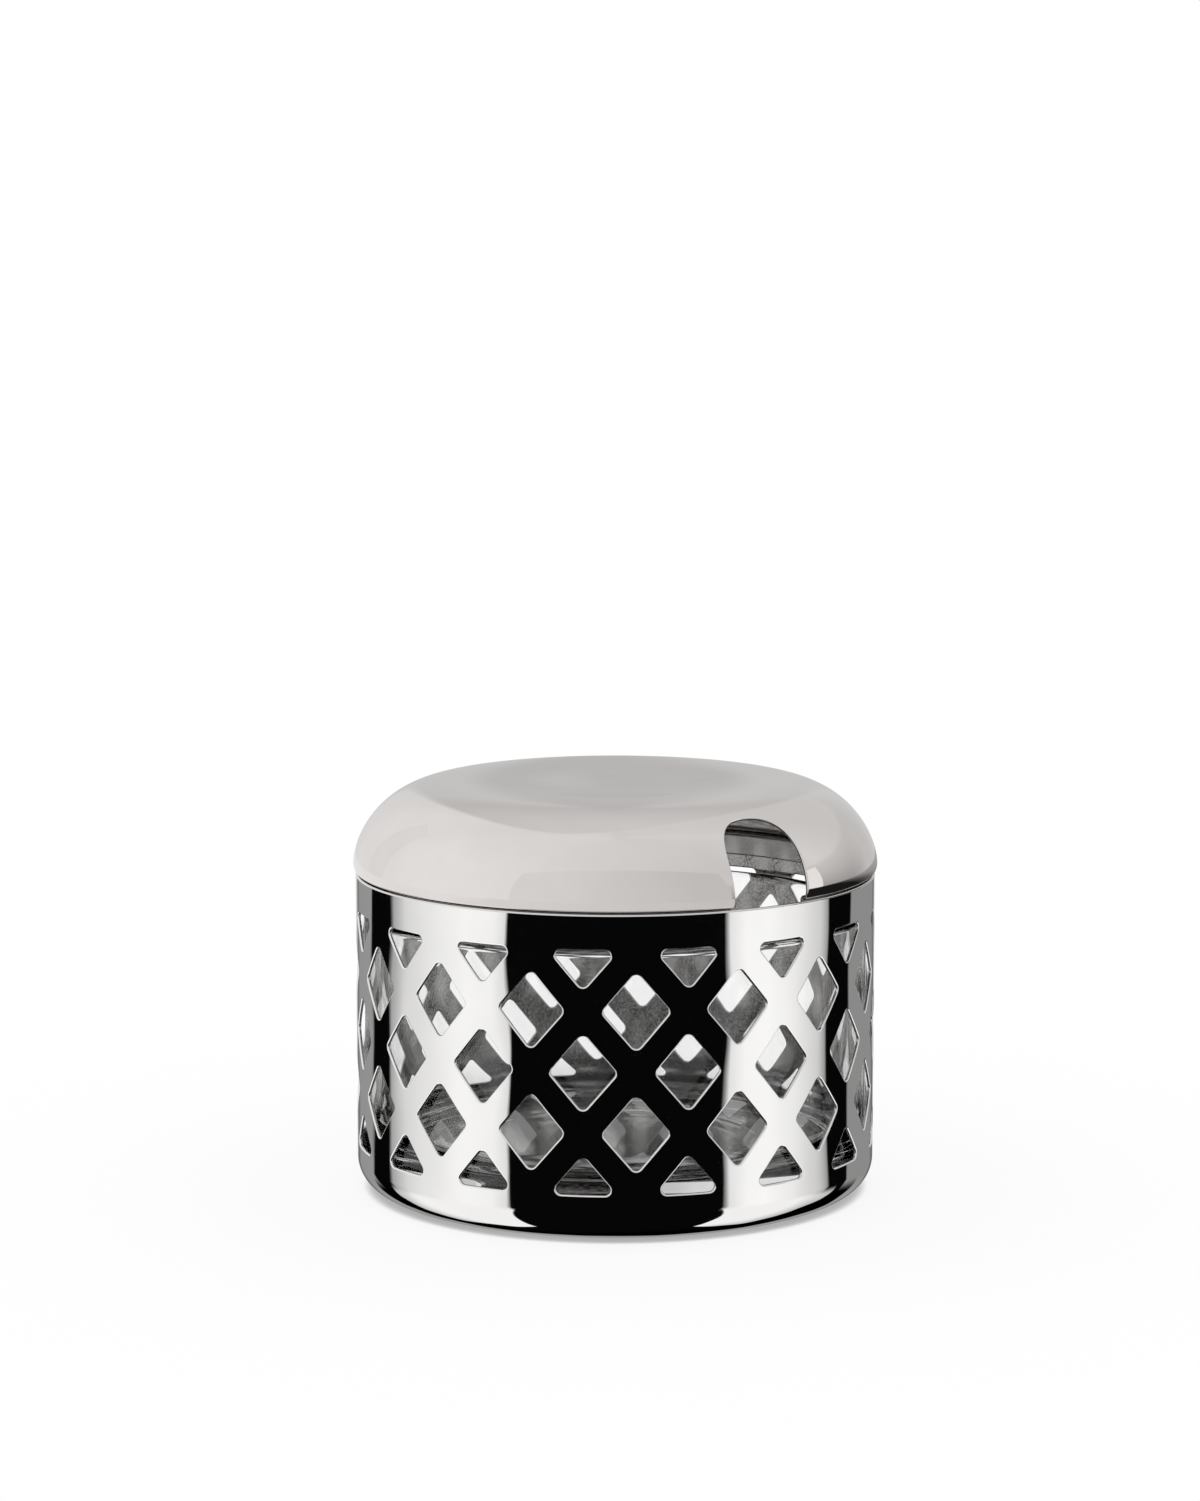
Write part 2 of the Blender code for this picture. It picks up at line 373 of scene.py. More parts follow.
def ring(skin, station, start, gap=0.0):
    """A row of points round the axis, but for a gap to both sides of the start angle."""
    radius, height, out, up = station
    row = []
    for step in range(TURN_STEPS + 1):
        angle = start + gap + (2 * math.pi - 2 * gap) * step / TURN_STEPS
        cosine, sine = math.cos(angle), math.sin(angle)
        row.append(skin.point((radius * cosine, radius * sine, height), (out * cosine, out * sine, up)))
    return row


def edge_steps():
    """For each step over a rounded edge, how far it has turned inwards and how far it still faces out."""
    steps = []
    for step in range(BEVEL_STEPS + 1):
        angle = math.pi / 2 * step / BEVEL_STEPS
        steps.append((math.sin(angle), math.cos(angle)))
    return steps


# Holder

def rounded_corner(before, corner, after, centre):
    """The round at a corner of an outline about a centre: pairs of point and outward normal."""
    before, after = before - corner, after - corner
    before, after = before / abs(before), after / abs(after)
    half = math.acos((before * after.conjugate()).real) / 2
    middle = (before + after) / abs(before + after)
    hub = corner + middle * OPENING_CORNER / math.sin(half)
    spoke = before * OPENING_CORNER / math.tan(half) + corner - hub
    sweep = math.pi - 2 * half
    turned = []
    for step in range(CORNER_STEPS + 1):
        angle = sweep * step / CORNER_STEPS
        arm = spoke * complex(math.cos(angle), math.sin(angle))
        turned.append((centre + hub + arm, arm / abs(arm)))
    return turned


def opening_outline(corners, centre):
    """An anticlockwise outline with round corners on the flat wall: pairs of point and outward normal."""
    rounds = []
    for index, corner in enumerate(corners):
        after = corners[(index + 1) % len(corners)]
        rounds.append(rounded_corner(corners[index - 1], corner, after, centre))
    outline = []
    for index, turned in enumerate(rounds):
        outline += turned
        (start, normal), end = turned[-1], rounds[(index + 1) % len(rounds)][0][0]
        for step in range(1, SIDE_STEPS):
            outline.append((start + (end - start) * step / SIDE_STEPS, normal))
    return outline


def trellis_openings():
    """The outlines of the openings in one column of the flat wall."""
    reach = HALF_WIDTH * HALF_HEIGHT / math.hypot(HALF_WIDTH, HALF_HEIGHT)
    shrink = 1 - STRAP / 2 / reach
    right, top = complex(HALF_WIDTH * shrink, 0), complex(0, HALF_HEIGHT * shrink)
    openings = []
    for row in TRELLIS_ROWS:
        corners = [right, top, -right, -top]
        if row == TRELLIS_ROWS[0]:
            corners = [right, top, -right]
        elif row == TRELLIS_ROWS[-1]:
            corners = [right, -right, -top]
        centre = complex(-HALF_WIDTH * (row % 2), TRELLIS_LOW + row * HALF_HEIGHT)
        openings.append(opening_outline(corners, centre))
    return openings


def trellis_edge():
    """The edge of one column of the flat wall, anticlockwise, in a zigzag between the openings."""
    corners = [complex(-HALF_WIDTH, BASE_FILLET)]
    for row in TRELLIS_ROWS:
        corners.append(complex(-HALF_WIDTH * (1 + row % 2), TRELLIS_LOW + row * HALF_HEIGHT))
    corners.append(complex(-HALF_WIDTH, RIM_HEIGHT - HOLDER_SHEET / 2))
    side = [corners[0]]
    for start, end in zip(corners, corners[1:]):
        steps = max(1, round(abs(end - start) / FILL_SPACING))
        side += [start + (end - start) * step / steps for step in range(1, steps + 1)]
    across = [2 * HALF_WIDTH * step / SECTOR_STEPS for step in range(1, SECTOR_STEPS)]
    edge = [side[0] + step for step in across]
    edge += [spot + 2 * HALF_WIDTH for spot in side]
    edge += [side[-1] + step for step in reversed(across)]
    edge += reversed(side)
    return edge[-1:] + edge[:-1]


def inside(spot, outline):
    """True if a spot of the flat wall lies within a closed outline."""
    within = False
    for index, here in enumerate(outline):
        there = outline[index - 1]
        if (here.imag > spot.imag) != (there.imag > spot.imag):
            share = (spot.imag - here.imag) / (there.imag - here.imag)
            if spot.real < here.real + share * (there.real - here.real):
                within = not within
    return within


def on_sheet(spot, loops):
    """True if a spot lies within the first loop, the sheet's edge, and in none of the holes after it."""
    return inside(spot, loops[0]) and not any(inside(spot, hole) for hole in loops[1:])


def grid_spots(loops):
    """Spots of a triangular grid on the sheet, clear of its edge and its holes."""
    edge = loops[0]
    left = min(spot.real for spot in edge)
    bottom = min(spot.imag for spot in edge)
    wide = max(spot.real for spot in edge) - left
    high = max(spot.imag for spot in edge) - bottom
    outlines = [spot for loop in loops for spot in loop]
    lift = FILL_SPACING * math.sqrt(3) / 2
    spots = []
    for row in range(int(high / lift) + 1):
        for column in range(int(wide / FILL_SPACING) + 1):
            spot = complex(left + FILL_SPACING * (column + row % 2 / 2), bottom + lift * row)
            closest = min(abs(spot - other) for other in outlines)
            if closest > FILL_CLEARANCE and on_sheet(spot, loops):
                spots.append(spot)
    return spots


def flat_wall(openings):
    """Triangles of spots that fill one column of the flat wall between its edge and its openings."""
    loops = [trellis_edge()]
    for outline in openings:
        loops.append([spot + normal * EDGE_ROUND for spot, normal in outline])
    spots, borders = [], []
    for loop in loops:
        first = len(spots)
        spots += loop
        for index in range(len(loop)):
            borders.append((first + index, first + (index + 1) % len(loop)))
    spots += grid_spots(loops)
    flat = [Vector((spot.real / MM, spot.imag / MM)) for spot in spots]
    faces, sources = delaunay_2d_cdt(flat, borders, [], FILL_WHOLE, FILL_TOLERANCE)[2:4]
    origins = [spots[source[0]] for source in sources]
    triangles = []
    for corners in faces:
        triangle = [origins[corner] for corner in corners]
        if on_sheet(sum(triangle) / 3, loops):
            triangles.append(triangle)
    return triangles


def wall_point(skin, spot, turn, depth, out, slope=0j):
    """A point of the wall at some depth in the sheet, with a normal given outwards and along the wall."""
    angle = spot.real / HOLDER_RADIUS + turn
    cosine, sine = math.cos(angle), math.sin(angle)
    radius = HOLDER_RADIUS - depth
    normal = (out * cosine - slope.real * sine, out * sine + slope.real * cosine, slope.imag)
    return skin.point((radius * cosine, radius * sine, spot.imag), normal)


def opening_edge(skin, outline, turn):
    """The rounded edge through the sheet round one opening, in the brighter steel of a painted highlight.
    """
    lines = []
    for spot, normal in outline:
        across = []
        for passed, facing in edge_steps():
            place = spot + normal * EDGE_ROUND * (1 - passed)
            depth = EDGE_ROUND * (1 - facing)
            across.append(wall_point(skin, place, turn, depth, facing, -normal * passed))
        for passed, facing in reversed(edge_steps()):
            place = spot + normal * EDGE_ROUND * (1 - passed)
            depth = HOLDER_SHEET - EDGE_ROUND * (1 - facing)
            across.append(wall_point(skin, place, turn, depth, -facing, -normal * passed))
        lines.append(across)
    for here, after in zip(lines, lines[1:] + lines[:1]):
        skin.strip(here, after, paint=HOLDER_EDGE_HIGHLIGHT)


def holder_base(skin, start):
    """The rounded corner, foot ring and raised panel, outside and inside."""
    foot_outside = HOLDER_RADIUS - BASE_FILLET
    foot_inside = foot_outside - FOOT_WIDTH
    panel = foot_inside - BASE_SLOPE
    hub = (foot_outside, BASE_FILLET)
    outside = joined(
        arc(hub, BASE_FILLET, 0, -90, FILLET_STEPS),
        line((foot_outside, 0.0), (foot_inside, 0.0)),
        ease((foot_inside, 0.0), (panel, BASE_RISE), BEND_STEPS),
        line((panel, BASE_RISE), (0.0, BASE_RISE)),
    )
    floor = BASE_RISE + HOLDER_SHEET
    within = joined(
        line((0.0, floor), (panel, floor)),
        ease((panel, floor), (foot_inside, HOLDER_SHEET), BEND_STEPS),
        line((foot_inside, HOLDER_SHEET), (foot_outside, HOLDER_SHEET)),
        arc(hub, BASE_FILLET - HOLDER_SHEET, -90, 0, FILLET_STEPS),
    )
    skin.rows([ring(skin, station, start) for station in stations(outside)])
    skin.rows([ring(skin, station, start) for station in stations(within)], paint=HOLDER_FLOOR)


def make_holder():
    """The drawn cup with its pierced wall, a rounded rim and rounded edges to every opening."""
    skin = Skin()
    openings = trellis_openings()
    triangles = flat_wall(openings)
    for column in range(COLUMNS):
        turn = 2 * math.pi * column / COLUMNS + TRELLIS_TURN
        for triangle in triangles:
            skin.face([wall_point(skin, spot, turn, 0.0, 1.0) for spot in triangle])
            inner = [wall_point(skin, spot, turn, HOLDER_SHEET, -1.0) for spot in triangle]
            skin.face(inner[::-1], paint=INSIDE)
        for outline in openings:
            opening_edge(skin, outline, turn)
    start = TRELLIS_TURN - math.pi / COLUMNS
    half = HOLDER_SHEET / 2
    rim = stations(arc((HOLDER_RADIUS - half, RIM_HEIGHT - half), half, 180, 0, RIM_STEPS))
    skin.rows([ring(skin, station, start) for station in rim])
    holder_base(skin, start)
    return skin.piece("polished_holder", holder_finishes())


# Bowl

def make_bowl():
    """The thick walled glass liner with a fire polished rim and a shallow recess under its foot."""
    inner_radius = BOWL_RADIUS - BOWL_WALL
    half = BOWL_WALL / 2
    floor = BOWL_SEAT + BOWL_FLOOR
    outer_corner = BASE_FILLET - HOLDER_SHEET
    flat_in = inner_radius - BOWL_INNER_CORNER
    flat_out = BOWL_RADIUS - outer_corner
    panel = HOLDER_RADIUS - BASE_FILLET - FOOT_WIDTH - BASE_SLOPE
    recess = panel - BOWL_FOOT_WIDTH
    roof = BOWL_SEAT + BOWL_RECESS
    path = joined(
        line((0.0, floor), (flat_in, floor)),
        arc((flat_in, floor + BOWL_INNER_CORNER), BOWL_INNER_CORNER, -90, 0, FILLET_STEPS),
        line((inner_radius, floor + BOWL_INNER_CORNER), (inner_radius, BOWL_RIM - half)),
        arc((BOWL_RADIUS - half, BOWL_RIM - half), half, 180, 0, FILLET_STEPS),
        line((BOWL_RADIUS, BOWL_RIM - half), (BOWL_RADIUS, BOWL_SEAT + outer_corner)),
        arc((flat_out, BOWL_SEAT + outer_corner), outer_corner, 0, -90, FILLET_STEPS),
        line((flat_out, BOWL_SEAT), (recess, BOWL_SEAT)),
        ease((recess, BOWL_SEAT), (recess - 2 * BOWL_RECESS, roof), BEND_STEPS),
        line((recess - 2 * BOWL_RECESS, roof), (0.0, roof)),
    )
    skin = Skin()
    skin.rows([ring(skin, station, 0.0) for station in stations(path)])
    return skin.piece("clear_bowl", [glass("bowl_clear")])


# Lid

def notch_spot(angle):
    """Across and out from the axis on the notch's arch, its side being at 0, its top at a right angle."""
    across = NOTCH_REACH * max(math.cos(angle), 0.0) ** (2 / NOTCH_POWER)
    return across, NOTCH_CENTRE - NOTCH_RISE * math.sin(angle) ** (2 / NOTCH_POWER)


def notch_gap(radius):
    """Half the angle that the notch takes out of the circle with this radius."""
    if radius <= NOTCH_CENTRE - NOTCH_RISE:
        return 0.0
    if radius >= math.hypot(NOTCH_CENTRE, NOTCH_REACH):
        return math.asin(NOTCH_REACH / radius)
    low, high = 0.0, math.pi / 2
    for _ in range(HALVINGS):
        middle = (low + high) / 2
        if math.hypot(*notch_spot(middle)) > radius:
            low = middle
        else:
            high = middle
    return math.atan2(*notch_spot(high))


def notch_inwards(place):
    """The level direction from the lid's sheet into the notch at a place on its edge."""
    if place.y < -NOTCH_CENTRE:
        return Vector((-place.x, 0.0, 0.0))
    side = abs(place.x / NOTCH_REACH) ** (NOTCH_POWER - 1) / NOTCH_REACH
    top = ((NOTCH_CENTRE + place.y) / NOTCH_RISE) ** (NOTCH_POWER - 1) / NOTCH_RISE
    return Vector((-math.copysign(side, place.x), -top, 0.0))


def shoulder_height(share):
    """How high the shoulder stands where it has gone this share of its way out from the ridge."""
    cosine = max(share, 0.0) ** (1 / SHOULDER_RUN_POWER)
    rise = math.sqrt(max(1 - cosine ** 2, 0.0)) ** SHOULDER_RISE_POWER
    low = RIM_HEIGHT + BULGE_HEIGHT
    return low + (LID_TOP - low) * rise


def shoulder():
    """The lid's round shoulder, with points where the notch's outline needs them."""
    run = LID_RADIUS - RIDGE_RADIUS
    radii = []
    for step in range(NOTCH_STEPS + 1):
        radii.append(math.hypot(*notch_spot(math.pi / 2 * step / NOTCH_STEPS)))
    for step in range(SHOULDER_STEPS + 1):
        radius = RIDGE_RADIUS + run * math.sin(math.pi / 2 * step / SHOULDER_STEPS)
        closest = min(abs(radius - other) for other in radii)
        if closest > SHOULDER_CLEARANCE or step == SHOULDER_STEPS:
            radii.append(radius)
    return [(radius, shoulder_height((radius - RIDGE_RADIUS) / run)) for radius in sorted(radii)]


def lid_outside():
    """The lid's outer face from the middle of the dish, over ridge and shoulder, to the lip's end."""
    dish = ease((0.0, LID_TOP - DISH_DEPTH), (RIDGE_RADIUS, LID_TOP), DISH_STEPS)
    seat = RIM_HEIGHT + LID_SEAT_GAP
    inset = ROLL_RADIUS - HEM_RADIUS
    turn = math.asin((BULGE_HEIGHT - LID_SEAT_GAP - HEM_RADIUS) / inset)
    down = -math.degrees(turn)
    roll_hub = (LID_RADIUS - ROLL_RADIUS, RIM_HEIGHT + BULGE_HEIGHT)
    hem_hub = (roll_hub[0] + inset * math.cos(turn), roll_hub[1] - inset * math.sin(turn))
    lip = HOLDER_RADIUS - HOLDER_SHEET - LIP_CLEARANCE
    bend_hub = (lip + LIP_BEND, seat - LIP_BEND)
    return joined(
        dish,
        shoulder(),
        arc(roll_hub, ROLL_RADIUS, 0, down, BEND_STEPS),
        arc(hem_hub, HEM_RADIUS, down, -90, RIM_STEPS),
        line((hem_hub[0], seat), (bend_hub[0], seat)),
        arc(bend_hub, LIP_BEND, 90, 180, BEND_STEPS),
        line((lip, bend_hub[1]), (lip, LIP_END + LID_SHEET / 2)),
    )


def lid_rows(skin, outside):
    """Rows of points on the lid's outer face, on its inner face and round the lip's end."""
    start = -math.pi / 2
    outer, inner = [], []
    for station in outside:
        radius, height, out, up = station
        gap = notch_gap(radius)
        within = max(radius - LID_SHEET * out, 0.0) if radius else 0.0
        outer.append(ring(skin, station, start, gap))
        inner.append(ring(skin, (within, height - LID_SHEET * up, -out, -up), start, gap))
    half = LID_SHEET / 2
    radius, height = outside[-1][:2]
    end = stations(arc((radius - half, height), half, 0, -180, RIM_STEPS))
    tip = [ring(skin, station, start, notch_gap(radius)) for station in end]
    return outer, inner, tip


def notch_line(skin, outer, inner):
    """The rounded edge through the lid's sheet at one place of the notch, from outside to inside."""
    start, end = Vector(skin.points[outer]), Vector(skin.points[inner])
    facing = Vector(skin.normals[outer])
    inwards = notch_inwards(start)
    inwards = (inwards - facing * inwards.dot(facing)).normalized()
    across = [outer]
    for passed, flat in edge_steps()[1:]:
        place = start + inwards * EDGE_ROUND * passed - facing * EDGE_ROUND * (1 - flat)
        across.append(skin.point(place, facing * flat + inwards * passed))
    for passed, flat in edge_steps()[:0:-1]:
        place = end + inwards * EDGE_ROUND * passed + facing * EDGE_ROUND * (1 - flat)
        across.append(skin.point(place, inwards * passed - facing * flat))
    return across + [inner]


def notch_edge(skin, outer, inner, tip, side):
    """The notch's rounded edge at one side, polished where it turns over and dark steel from there in."""
    lines = [notch_line(skin, row[side], within[side]) for row, within in zip(outer, inner)]
    for here, after in zip(lines, lines[1:]):
        pair = (after, here) if side == 0 else (here, after)
        skin.strip(*[spots[:NOTCH_SHEEN + 1] for spots in pair])
        skin.strip(*[spots[NOTCH_SHEEN:] for spots in pair], paint=LID_DARK_CUT_AND_SEAM_SHADE)
    ending = lines[-1] + [row[side] for row in tip[-2:0:-1]]
    skin.face(ending if side == 0 else ending[::-1], paint=LID_DARK_CUT_AND_SEAM_SHADE)


def make_lid():
    """The domed lid: one sheet with a dished top, a small rolled edge, a lip and the spoon notch."""
    skin = Skin()
    outside = stations(lid_outside())
    outer, inner, tip = lid_rows(skin, outside)
    tilts = [station[3] for station in outside]
    seam = next(index for index, tilt in enumerate(tilts) if tilt < SEAM_TILT)
    lip = next(index for index, tilt in enumerate(tilts) if index > seam and tilt > LIP_TILT)
    skin.rows(outer[:seam + 1])
    # Underside of the hem and seat over the holder's rim: painted shade for the dark seam
    skin.rows(outer[seam:lip + 1], paint=LID_DARK_CUT_AND_SEAM_SHADE)
    skin.rows(outer[lip:], paint=INSIDE)
    skin.rows(tip, paint=INSIDE)
    skin.rows(inner[::-1], paint=INSIDE)
    first = next(index for index, station in enumerate(outside) if notch_gap(station[0]) > 0) - 1
    for side in (0, -1):
        notch_edge(skin, outer[first:], inner[first:], tip, side)
    return skin.piece("polished_lid", lid_finishes())


# Shader nodes

def add_node(tree, kind, settings=(), **inputs):
    """One node. An input, by its name or as _ and its number, is a value or another node's output."""
    made = tree.nodes.new(kind)
    for name, value in dict(settings).items():
        setattr(made, name, value)
    for name, value in inputs.items():
        key = int(name[1:]) if name[1:].isdigit() else name.replace("_", " ")
        if isinstance(value, bpy.types.NodeSocket):
            tree.links.new(value, made.inputs[key])
        else:
            made.inputs[key].default_value = value
    return made


def math_node(tree, operation, first, second=0.0, third=0.0):
    """One step of arithmetic on the values of nodes."""
    made = add_node(tree, "ShaderNodeMath", {"operation": operation}, _0=first, _1=second, _2=third)
    return made.outputs["Value"]


def times(tree, first, second):
    """The product of two values."""
    return math_node(tree, "MULTIPLY", first, second)


def straight(tree, value, start, end, low, high):
    """A straight rise of a value from low at start to high at end."""
    made = add_node(tree, "ShaderNodeMapRange", Value=value,
                    From_Min=start, From_Max=end, To_Min=low, To_Max=high)
    return made.outputs["Result"]


def smooth(tree, value, start, end, low, high):
    """A smooth step of a value from low at start to high at end."""
    made = add_node(tree, "ShaderNodeMapRange", {"interpolation_type": "SMOOTHSTEP"}, Value=value,
                    From_Min=start, From_Max=end, To_Min=low, To_Max=high)
    return made.outputs["Result"]


def blend(tree, factor, first, second):
    """The first value where the factor is 0, the second where it is 1."""
    made = add_node(tree, "ShaderNodeMix", {"data_type": "FLOAT"}, _0=factor, _2=first, _3=second)
    return made.outputs[0]


def noise(tree, place, grain, detail, stretch=(1.0, 1.0, 1.0)):
    """Noise with so many marks to the metre, drawn out along an axis where its stretch is small."""
    moved = add_node(tree, "ShaderNodeMapping", Vector=place, Scale=stretch).outputs["Vector"]
    made = add_node(tree, "ShaderNodeTexNoise", Vector=moved, Scale=grain, Detail=detail)
    return made.outputs["Fac"]


def turned_rings(tree, place):
    """Noise by the distance from the axis alone, which makes rings."""
    flat = add_node(tree, "ShaderNodeVectorMath", {"operation": "MULTIPLY"},
                    _0=place, _1=(1.0, 1.0, 0.0))
    radius = add_node(tree, "ShaderNodeVectorMath", {"operation": "LENGTH"}, _0=flat.outputs["Vector"])
    made = add_node(tree, "ShaderNodeTexNoise", {"noise_dimensions": "1D"},
                    W=radius.outputs["Value"], Scale=RING_GRAIN, Detail=3.0)
    return made.outputs["Fac"]


def spread(tree, value, low, high):
    """The middle of a noise's range, spread from low to high."""
    return straight(tree, value, *NOISE_MIDDLE, low, high)


def bump(tree, height, depth, under=None):
    """A normal that follows a height of so much depth, on top of another normal if there is one."""
    made = add_node(tree, "ShaderNodeBump", Height=height, Strength=1.0, Distance=depth)
    if under is not None:
        tree.links.new(under, made.inputs["Normal"])
    return made.outputs["Normal"]


def from_view(tree, place):
    """A place or direction as three values: to the right of the photo's view, away from it, and up."""
    turned = add_node(tree, "ShaderNodeVectorRotate", {"rotation_type": "Z_AXIS"},
                      Vector=place, Angle=-VIEW_AZIMUTH)
    split = add_node(tree, "ShaderNodeSeparateXYZ", Vector=turned.outputs["Vector"])
    return [split.outputs[axis] for axis in "XYZ"]


def turn_share(tree, across, ahead):
    """The share of a turn round the object, half a turn being at the photo's view."""
    turn = math_node(tree, "ARCTAN2", across, times(tree, ahead, -1.0))
    return math_node(tree, "MULTIPLY_ADD", turn, 1 / (2 * math.pi), 0.5)


def azimuth_share(azimuth):
    """The share of a turn at an azimuth in degrees."""
    return azimuth / 360 + 0.5


def panels(tree, share, stops):
    """Brightness of panels that stand round the object, by the share of a turn."""
    ramp = add_node(tree, "ShaderNodeValToRGB", Fac=share)
    elements = ramp.color_ramp.elements
    while len(elements) < len(stops):
        elements.new(0.5)
    for element, (azimuth, level) in zip(elements, stops):
        element.position = azimuth_share(azimuth)
        element.color = (level, level, level, 1.0)
    return ramp.outputs["Color"]


# Materials

def new_material(name):
    """An empty Principled material: itself, its tree, its shader and coordinates in metres."""
    made = bpy.data.materials.new(name)
    made.use_nodes = True
    tree = made.node_tree
    place = add_node(tree, "ShaderNodeTexCoord").outputs["Object"]
    return made, tree, tree.nodes["Principled BSDF"], place


def tint(tree, shader, marks, colour, contrast):
    """A colour that the marks make darker and lighter."""
    darker, lighter = (
        (*[min(value * shade, 1.0) for value in colour], 1.0)
        for shade in (1 - contrast, 1 + contrast)
    )
    share = spread(tree, marks, 0.0, 1.0)
    mixed = add_node(tree, "ShaderNodeMix", {"data_type": "RGBA"}, _0=share, _6=darker, _7=lighter)
    tree.links.new(mixed.outputs[2], shader.inputs["Base Color"])


def steel(name, colour, roughness, lines, depth, waves=0.0):
    """Polished steel: clouds in its gloss, fine polishing lines round it, and slow waves in the sheet."""
    made, tree, shader, place = new_material(name)
    shader.inputs["Metallic"].default_value = 1.0
    clouds = noise(tree, place, CLOUD_GRAIN, detail=4.0)
    marks = noise(tree, place, POLISH_GRAIN, detail=2.0, stretch=POLISH_STRETCH)
    tint(tree, shader, clouds, colour, CLOUD_CONTRAST)
    gloss = math_node(tree, "ADD", spread(tree, clouds, *roughness), spread(tree, marks, 0.0, lines))
    tree.links.new(gloss, shader.inputs["Roughness"])
    sheet = None
    if waves:
        sheet = bump(tree, noise(tree, place, WAVE_GRAIN, detail=1.0, stretch=WAVE_STRETCH), waves)
    tree.links.new(bump(tree, marks, depth, under=sheet), shader.inputs["Normal"])
    return made


def raw_steel(name, colour, roughness, contrast, depth, rings=False):
    """Unpolished steel: a speckled skin, or turned rings round the axis."""
    made, tree, shader, place = new_material(name)
    shader.inputs["Metallic"].default_value = 1.0
    marks = turned_rings(tree, place) if rings else noise(tree, place, SPECKLE_GRAIN, detail=2.0)
    tint(tree, shader, marks, colour, contrast)
    tree.links.new(spread(tree, marks, *roughness), shader.inputs["Roughness"])
    tree.links.new(bump(tree, marks, depth), shader.inputs["Normal"])
    return made


def glass(name):
    """Clear pressed glass: a trace of yellow, slow waves in its faces and a few faint smears."""
    made, tree, shader, place = new_material(name)
    shader.inputs["Base Color"].default_value = CLEAR_GLASS
    shader.inputs["Transmission Weight"].default_value = 1.0
    shader.inputs["IOR"].default_value = GLASS_IOR
    smears = noise(tree, place, SMEAR_GRAIN, detail=4.0)
    tree.links.new(spread(tree, smears, 0.0, SMEAR_ROUGHNESS), shader.inputs["Roughness"])
    waves = noise(tree, place, GLASS_WAVE_GRAIN, detail=1.0, stretch=GLASS_WAVE_STRETCH)
    tree.links.new(bump(tree, waves, GLASS_WAVE_DEPTH), shader.inputs["Normal"])
    return made


def holder_finishes():
    """Polished outside, speckled inside, turned on its floor, and a brighter copy of the polish on the
    openings' edges as a painted highlight.
    """
    fine = 0.0004 * MM
    return [
        steel("holder_polish", WALL_STEEL, roughness=(0.01, 0.025),
              lines=0.015, depth=fine, waves=0.45 * MM),
        raw_steel("holder_inside", WALL_INSIDE_STEEL, roughness=(0.10, 0.26),
                  contrast=0.28, depth=0.007 * MM),
        raw_steel("holder_floor", FLOOR_STEEL, roughness=(0.03, 0.08),
                  contrast=0.50, depth=0.002 * MM, rings=True),
        steel("holder_edge_highlight", EDGE_HIGHLIGHT_STEEL, roughness=(0.02, 0.04),
              lines=0.015, depth=fine),
    ]


def lid_finishes():
    """Polished outside, satin inside and on the lip, dark on the notch's cut faces, and painted seam
    shade under the folded hem over the holder's rim.
    """
    return [
        steel("lid_polish", LID_STEEL, roughness=(0.015, 0.035),
              lines=0.01, depth=0.0002 * MM),
        raw_steel("lid_inside", LID_INSIDE_STEEL, roughness=(0.15, 0.18),
                  contrast=0.04, depth=0.0006 * MM),
        # Dark steel on the notch's cut faces and painted seam shade under the hem
        raw_steel("lid_dark_cut_and_seam_shade", DARK_CUT_AND_SEAM_SHADE_STEEL, roughness=(0.25, 0.35),
                  contrast=0.2, depth=0.004 * MM),
    ]


def table_material():
    """Matt white, lit up to the white of the backdrop where the camera sees it, with a painted contact
    shadow where ambient occlusion finds the object close.
    """
    made, tree, shader, _ = new_material("table_white")
    shader.inputs["Roughness"].default_value = 1.0
    shader.inputs["Specular IOR Level"].default_value = 0.0
    shader.inputs["Base Color"].default_value = WHITE
    # Painted contact shadow: ambient occlusion near the object dims the table's glow
    corner = add_node(tree, "ShaderNodeAmbientOcclusion", {"samples": PAINTED_SHADOW_SAMPLES},
                      Distance=PAINTED_SHADOW_REACH)
    strength = smooth(tree, corner.outputs["AO"], *PAINTED_SHADOW_LEVELS)
    light = add_node(tree, "ShaderNodeEmission", Strength=strength).outputs["Emission"]
    seen = add_node(tree, "ShaderNodeLightPath").outputs["Is Camera Ray"]
    share = times(tree, seen, TABLE_LIFT)
    mixed = add_node(tree, "ShaderNodeMixShader", _0=share, _1=shader.outputs["BSDF"], _2=light)
    tree.links.new(mixed.outputs["Shader"], tree.nodes["Material Output"].inputs["Surface"])
    return made


def collar_material():
    """Light for the lid's tucked edge: bright at the left, dimmer to the front, little at the right."""
    made, tree, _, place = new_material("collar_light")
    across, ahead, _ = from_view(tree, place)
    level = panels(tree, turn_share(tree, across, ahead), COLLAR_PANELS)
    light = add_node(tree, "ShaderNodeEmission", Strength=level).outputs["Emission"]
    tree.links.new(light, tree.nodes["Material Output"].inputs["Surface"])
    return made


# Studio: soft boxes left and right of a dark front, and light all round above the table

def left_right(tree, across, values):
    """One value at the left and another at the right, with a short change in the middle."""
    return straight(tree, across, -TABLE_MIDDLE, TABLE_MIDDLE, *values)


